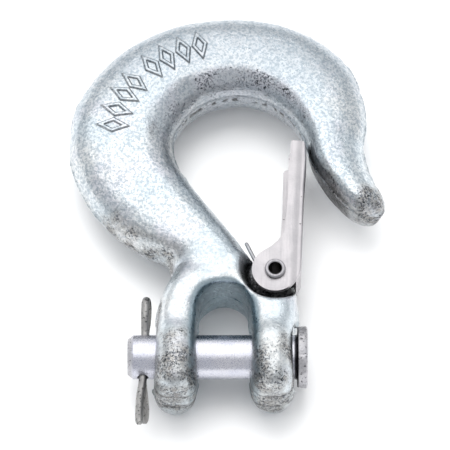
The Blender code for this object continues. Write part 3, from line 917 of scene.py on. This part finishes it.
def make_latch_spring():
    """Round wire along the spring's path, with rounded tips."""
    path = spring_path()
    last = len(path) - 1
    rings = []
    stops = [(0, -1, share) for share in (1.0, 0.86, 0.5)] + [(i, 0, 0.0) for i in range(last + 1)]
    stops += [(last, 1, share) for share in (0.5, 0.86, 1.0)]
    for i, way, share in stops:
        tangent = (path[min(i + 1, last)] - path[max(i - 1, 0)]).normalized()
        across = tangent.cross(Vector((0.0, 0.0, 1.0))).normalized()
        up = across.cross(tangent)
        middle = path[i] + tangent * (way * share * WIRE_RADIUS)
        radius = WIRE_RADIUS * math.sqrt(max(0.02, 1 - share ** 2))
        ring = []
        for k in range(16):
            angle = 2 * math.pi * k / 16
            ring.append(middle + (across * math.cos(angle) + up * math.sin(angle)) * radius)
        rings.append(ring)
    spring = new_object("spring", skin(rings))
    spring.data.transform(Matrix.Translation((*PIVOT, 0.0)))
    smooth_with_creases(spring.data, 50)
    return spring


# Materials

def new_material(name):
    """A material with a Principled BSDF."""
    material = bpy.data.materials.new(name)
    material.use_nodes = True
    return material


class Nodes:
    """A material's node tree, with a short call for each kind of node it uses."""

    def __init__(self, material):
        self.tree = material.node_tree
        self.shader = self.tree.nodes["Principled BSDF"]
        self.position = self.add("ShaderNodeTexCoord").outputs["Object"]

    def add(self, kind, **settings):
        """A new node with the given settings."""
        node = self.tree.nodes.new(kind)
        for name, value in settings.items():
            setattr(node, name, value)
        return node

    def feed(self, socket, value):
        """Links an output to the socket, or sets the socket's value."""
        if isinstance(value, bpy.types.NodeSocket):
            self.tree.links.new(value, socket)
        elif hasattr(value, "__len__"):
            socket.default_value = (*value, 1.0)[:len(socket.default_value)]
        else:
            socket.default_value = value

    def noise(self, size, detail=2.0, stretch=None, roughness=0.5):
        """Noise from about 0 to 1 whose grains are `size` millimetres across."""
        node = self.add("ShaderNodeTexNoise")
        node.inputs["Scale"].default_value = 1.0 / (size * MM)
        node.inputs["Detail"].default_value = detail
        node.inputs["Roughness"].default_value = roughness
        place_in = self.position
        if stretch:
            mapping = self.add("ShaderNodeMapping")
            mapping.inputs["Scale"].default_value = stretch
            self.feed(mapping.inputs["Vector"], self.position)
            place_in = mapping.outputs["Vector"]
        self.feed(node.inputs["Vector"], place_in)
        return node.outputs["Fac"]

    def axis(self, index):
        """The point's x, y or z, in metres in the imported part's frame."""
        node = self.add("ShaderNodeSeparateXYZ")
        self.feed(node.inputs[0], self.position)
        return node.outputs[index]

    def math(self, operation, first, second=0.0):
        """The operation's result on one or two values."""
        node = self.add("ShaderNodeMath", operation=operation)
        self.feed(node.inputs[0], first)
        self.feed(node.inputs[1], second)
        return node.outputs[0]

    def affine(self, value, factor, offset):
        """The value times a factor, plus an offset."""
        return self.math("ADD", self.math("MULTIPLY", value, factor), offset)

    def ramp(self, value, low, high, to_low=0.0, to_high=1.0):
        """A smooth step of the value from low to high."""
        node = self.add("ShaderNodeMapRange", interpolation_type="SMOOTHSTEP")
        for name, item in (("Value", value), ("From Min", low), ("From Max", high),
                           ("To Min", to_low), ("To Max", to_high)):
            self.feed(node.inputs[name], item)
        return node.outputs["Result"]

    def mix(self, share, first, second):
        """The first colour, with a share of the second in it."""
        node = self.add("ShaderNodeMix", data_type="RGBA")
        self.feed(node.inputs["Factor"], share)
        self.feed(node.inputs[6], first)
        self.feed(node.inputs[7], second)
        return node.outputs[2]

    def bump(self, height, depth, under=None):
        """A bump of the height, `depth` millimetres deep, on top of another."""
        node = self.add("ShaderNodeBump")
        node.inputs["Distance"].default_value = depth * MM
        self.feed(node.inputs["Height"], height)
        if under is not None:
            self.feed(node.inputs["Normal"], under)
        return node.outputs["Normal"]

    def finish(self, color, roughness, normal):
        """Feeds the shader of a bare metal."""
        self.shader.inputs["Metallic"].default_value = 1.0
        self.feed(self.shader.inputs["Base Color"], color)
        self.feed(self.shader.inputs["Roughness"], roughness)
        self.feed(self.shader.inputs["Normal"], normal)


def speckle(n, size, level, spread):
    """1 in scattered specks about `size` across; a higher level makes more and bigger specks."""
    return n.ramp(n.math("SUBTRACT", n.noise(size, 3.0, roughness=0.65), level), -spread, spread, 1.0, 0.0)


def zinc_forging():
    """Bright zinc over a forged skin, with pits and scale where the skin is coarse, real blots, and painted
    shade towards the crown, inside the jaw, in the latch's hollow and on the point's inner faces.
    """
    material = new_material("zinc_forging")
    n = Nodes(material)
    coarse = n.add("ShaderNodeAttribute", attribute_name="scale").outputs["Fac"]
    dirt_and_shade = n.add("ShaderNodeAttribute", attribute_name="dirt_and_shade").outputs["Fac"]
    jaw = n.add("ShaderNodeAttribute", attribute_name="jaw").outputs["Fac"]
    height = n.axis(1)  # in metres towards the crown
    tint = n.mix(n.ramp(n.noise(17.0), 0.38, 0.62), ZINC_BLUE, ZINC_PALE)
    tint = n.mix(n.ramp(n.noise(9.0), 0.5, 0.72, 0.0, 0.6), tint, ZINC_VIOLET)
    # Painted shade: the zinc darkens towards the crown, where the metal reflects a dimmer sky
    tint = n.mix(n.ramp(height, 0.022, 0.055, 0.0, 0.85), tint, ZINC_CROWN_SHADE)
    # Painted shade: the jaw's inner faces turn dark teal, in place of shade and interreflection there
    tint = n.mix(n.math("MULTIPLY", jaw, 0.85), tint, ZINC_JAW_SHADE)
    grain = n.noise(0.8, 2.0, roughness=0.7)
    neck = n.ramp(height, -0.025, 0.005, 0.25, 0.6)
    tint = n.mix(n.math("MULTIPLY", neck, n.ramp(grain, 0.40, 0.56, 1.0, 0.0)), tint, GRAIN_DARK)
    patches = n.noise(1.5, 3.0, roughness=0.6)
    tint = n.mix(n.ramp(patches, 0.36, 0.50, 0.35, 0.0), tint, PATCH_DARK)
    scale_tint = n.mix(n.ramp(height, 0.020, 0.035), SCALE_BROWN, SCALE_GREY)
    tint = n.mix(n.math("MULTIPLY", coarse, n.ramp(patches, 0.40, 0.62, 0.9, 0.4)), tint, scale_tint)
    pepper = speckle(n, 0.6, n.affine(coarse, 0.15, 0.33), 0.03)
    tint = n.mix(n.math("MULTIPLY", pepper, n.affine(coarse, 0.3, 0.5)), tint, PEPPER_DARK)
    pits = speckle(n, 0.95, n.affine(coarse, 0.165, 0.24), 0.025)
    tint = n.mix(n.math("MULTIPLY", pits, 0.92), tint, PIT_BLACK)
    # Real blots and painted shade, from the dirt-and-shade layer
    tint = n.mix(n.math("MULTIPLY", dirt_and_shade, n.ramp(grain, 0.35, 0.6, 0.97, 0.75)), tint, DIRT_AND_SHADE_BLACK)
    roughness = n.math("ADD", n.ramp(n.noise(2.2), 0.3, 0.7, 0.24, 0.36), n.math("MULTIPLY", coarse, 0.08))
    normal = n.bump(n.noise(2.6, 2.0), 0.12)
    normal = n.bump(n.noise(0.7, 2.0), 0.10, normal)
    normal = n.bump(n.math("MULTIPLY", n.noise(1.0, 3.0), coarse), 0.28, normal)
    n.finish(tint, roughness, normal)
    return material


def turned_zinc():
    """Zinc over a turned surface: fine rings round the axis, a rough head and far end, and painted shade
    under the head.
    """
    material = new_material("turned_zinc")
    n = Nodes(material)
    grain = n.noise(0.4, 2.0, roughness=0.7)
    rings = n.noise(1.0, 2.0, (6.0, 0.35, 0.35))
    tint = n.mix(n.ramp(n.noise(6.0), 0.35, 0.65), PIN_LILAC, PIN_PALE)
    tint = n.mix(n.ramp(grain, 0.30, 0.55, 0.5, 0.0), tint, PIN_GRAIN_DARK)

    def along_pin(start, end):
        """A smooth step along the pin, from 0 at the start to 1 at the end."""
        return n.ramp(n.axis(0), start * MM + ORIGIN.x, end * MM + ORIGIN.x)

    head = along_pin(HEAD_INNER_X - 0.3, HEAD_INNER_X + 0.3)
    tail = along_pin(PIN_END_X + 2.0, PIN_END_X + 0.8)
    ends = n.math("MAXIMUM", head, tail)
    pits = speckle(n, 0.6, n.affine(ends, 0.19, 0.20), 0.03)
    tint = n.mix(n.math("MULTIPLY", ends, 0.6), tint, PIN_END_GREY)
    # Painted shade: a black ring where the shank meets the head, in the gap beside the ear
    seam = n.math("MULTIPLY", along_pin(HEAD_INNER_X - 1.1, HEAD_INNER_X - 0.6),
                  along_pin(HEAD_INNER_X + 0.6, HEAD_INNER_X + 0.2))
    tint = n.mix(n.math("MAXIMUM", pits, seam), tint, PIN_PIT_AND_SHADE_BLACK)
    roughness = n.math("ADD", n.ramp(grain, 0.3, 0.7, 0.22, 0.32), n.math("MULTIPLY", ends, 0.14))
    normal = n.bump(n.noise(0.9, 3.0), 0.04, n.bump(rings, 0.03))
    normal = n.bump(n.math("MULTIPLY", n.noise(1.2, 3.0), ends), 0.4, normal)
    n.finish(tint, roughness, normal)
    return material


def satin_sheet():
    """Pressed sheet under matt zinc: a fine dull grain, faint draw lines, dark dings and painted shade
    along the fold.
    """
    material = new_material("satin_sheet")
    n = Nodes(material)
    grain = n.noise(0.4, 3.0)
    lines = n.noise(1.0, 3.0, (2.2, 0.12, 1.0))
    tint = n.mix(n.ramp(n.noise(5.0), 0.35, 0.65), SHEET_DULL, SHEET_PALE)
    tint = n.mix(n.ramp(lines, 0.33, 0.5, 0.35, 0.0), tint, SHEET_LINE_DARK)
    # Painted shade: a darker band just inside the fold of the mouth side
    fold = n.math("SUBTRACT", n.axis(0), n.affine(n.axis(1), FOLD_SLOPE, FOLD_START))
    near_fold = n.math("MULTIPLY", n.ramp(fold, -0.0036, -0.0022), n.ramp(fold, -0.0010, -0.0017))
    tint = n.mix(n.math("MULTIPLY", near_fold, 0.45), tint, SHEET_FOLD_SHADE)
    dings = n.ramp(n.noise(1.7, 2.0), 0.24, 0.27, 1.0, 0.0)
    tint = n.mix(n.math("MULTIPLY", dings, 0.8), tint, DING_DARK)
    roughness = n.ramp(grain, 0.3, 0.7, 0.40, 0.52)
    normal = n.bump(lines, 0.025, n.bump(grain, 0.03, n.bump(n.noise(4.0), 0.12)))
    n.finish(tint, roughness, normal)
    return material


def drawn_wire(name, color, roughness, dark):
    """Drawn wire: streaks along it and small dark scuffs."""
    material = new_material(name)
    n = Nodes(material)
    grain = n.noise(0.6, 3.0)
    streaks = n.noise(0.9, 3.0, (1.6, 0.25, 1.6))
    tint = n.mix(n.ramp(streaks, 0.35, 0.6, 0.5, 0.0), color, tuple(0.55 * c for c in color))
    scuffs = n.ramp(n.noise(0.8, 3.0), dark, dark + 0.06, 1.0, 0.0)
    tint = n.mix(n.math("MULTIPLY", scuffs, 0.85), tint, SCUFF_DARK)
    normal = n.bump(streaks, 0.05, n.bump(grain, 0.05))
    n.finish(tint, n.ramp(grain, 0.3, 0.7, roughness, roughness + 0.12), normal)
    return material


def rivet_zinc():
    """Rolled rivet metal, with painted shade down its hollow."""
    material = drawn_wire("rivet_zinc", RIVET_GREY, 0.28, 0.24)
    n = Nodes(material)
    color = n.shader.inputs["Base Color"].links[0].from_socket
    to_side = n.math("SUBTRACT", n.axis(0), PIVOT[0] * MM + ORIGIN.x)
    to_crown = n.math("SUBTRACT", n.axis(1), PIVOT[1] * MM + ORIGIN.y)
    radius = n.math("SQRT", n.math("ADD", n.math("POWER", to_side, 2.0), n.math("POWER", to_crown, 2.0)))
    # Painted shade: the rivet's bore is painted black
    hollow = n.ramp(radius, (RIVET_HOLLOW_RADIUS + 0.12) * MM, (RIVET_HOLLOW_RADIUS + 0.02) * MM)
    n.feed(n.shader.inputs["Base Color"], n.mix(hollow, color, HOLLOW_SHADE_BLACK))
    return material


# The pieces' places

def place(obj, body, slot, material, node):
    """Puts a piece made in the design frame where the CAD has it, and hides the node it stands for."""
    obj.data.transform(Matrix.Translation(ORIGIN) @ Matrix.Scale(MM, 4))
    obj.data.materials.clear()
    obj.data.materials.append(material)
    if body:
        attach(obj, body)
    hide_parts(node)
    return obj


# Camera, floor and light

def make_camera():
    """A long lens that looks down on the hook."""
    data = bpy.data.cameras.new("camera")
    camera = bpy.data.objects.new("camera", data)
    bpy.context.collection.objects.link(camera)
    back = Vector((0.0, -math.cos(VIEW_ELEVATION), math.sin(VIEW_ELEVATION)))
    camera.location = VIEW_TARGET + back * VIEW_DISTANCE
    camera.rotation_euler = (-back).to_track_quat("-Z", "Y").to_euler()
    data.sensor_width = SENSOR
    data.lens = SENSOR * VIEW_DISTANCE / VIEW_WIDTH
    data.clip_start = 0.01
    data.clip_end = 100.0
    bpy.context.scene.camera = camera


def make_key():
    """A soft light overhead that brightens the floor; the sky alone shows in the metal."""
    data = bpy.data.lights.new("key", "AREA")
    data.size = KEY_SIZE
    data.energy = KEY_POWER
    light = bpy.data.objects.new("key", data)
    bpy.context.collection.objects.link(light)
    light.location = VIEW_TARGET + KEY_DIRECTION.normalized() * KEY_DISTANCE
    light.rotation_euler = KEY_DIRECTION.to_track_quat("Z", "Y").to_euler()
    light.visible_glossy = False


def make_floor():
    """A plain pale floor under the CAD model's lowest point."""
    bm = bmesh.new()
    bmesh.ops.create_grid(bm, x_segments=1, y_segments=1, size=3.0)
    floor = new_object("floor", bm)
    floor.location.z = cad_box[0].z
    material = new_material("floor")
    shader = material.node_tree.nodes["Principled BSDF"]
    shader.inputs["Base Color"].default_value = (FLOOR_WHITE, FLOOR_WHITE, FLOOR_WHITE, 1.0)
    shader.inputs["Roughness"].default_value = 0.7
    floor.data.materials.append(material)


def make_world():
    """A soft sky: bright overhead, towards the crown, and dimmer all round."""
    world = bpy.data.worlds.new("studio")
    world.use_nodes = True
    tree = world.node_tree
    direction = tree.nodes.new("ShaderNodeTexCoord").outputs["Generated"]

    def towards(way, low, high):
        dot = tree.nodes.new("ShaderNodeVectorMath")
        dot.operation = "DOT_PRODUCT"
        tree.links.new(direction, dot.inputs[0])
        dot.inputs[1].default_value = way.normalized()
        step = tree.nodes.new("ShaderNodeMapRange")
        step.interpolation_type = "SMOOTHSTEP"
        tree.links.new(dot.outputs["Value"], step.inputs["Value"])
        step.inputs["From Min"].default_value = low
        step.inputs["From Max"].default_value = high
        return step.outputs["Result"]

    def mixed(share, first, second):
        mix = tree.nodes.new("ShaderNodeMix")
        mix.data_type = "RGBA"
        tree.links.new(share, mix.inputs["Factor"])
        for socket, value in ((mix.inputs[6], first), (mix.inputs[7], second)):
            if isinstance(value, tuple):
                socket.default_value = (*value, 1.0)
            else:
                tree.links.new(value, socket)
        return mix.outputs[2]

    sky = mixed(towards(Vector((0.0, -1.0, 0.0)), -0.3, 0.6), SKY_BACK, SKY_FRONT)
    sky = mixed(towards(SKY_MIDDLE, math.cos(SKY_OUTER), math.cos(SKY_INNER)), sky, SKY_BRIGHT)
    tree.links.new(sky, tree.nodes["Background"].inputs["Color"])
    bpy.context.scene.world = world


def main():
    """Builds the studio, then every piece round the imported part."""
    make_camera()
    make_floor()
    make_key()
    make_world()
    bpy.context.scene.view_settings.view_transform = "Standard"
    cotter_metal = drawn_wire("cotter_zinc", COTTER_GREY, 0.34, 0.36)
    spring_metal = drawn_wire("spring_zinc", SPRING_GREY, 0.28, 0.30)
    place(make_forging(), "hook", "forging", zinc_forging(), "hook_body")
    place(make_clevis_pin(), "clevis_pin", "pin_steel", turned_zinc(), "clevis_pin")
    place(make_cotter_pin(), "clevis_pin", "cotter_wire", cotter_metal, "cotter_pin")
    place(make_latch(), "latch", "latch_sheet", satin_sheet(), "latch")
    place(make_latch_pin(), "hook", "rivet_steel", rivet_zinc(), "latch_pin")
    spring = place(make_latch_spring(), None, "spring_wire", spring_metal, "latch_spring")
    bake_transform(spring)


main()
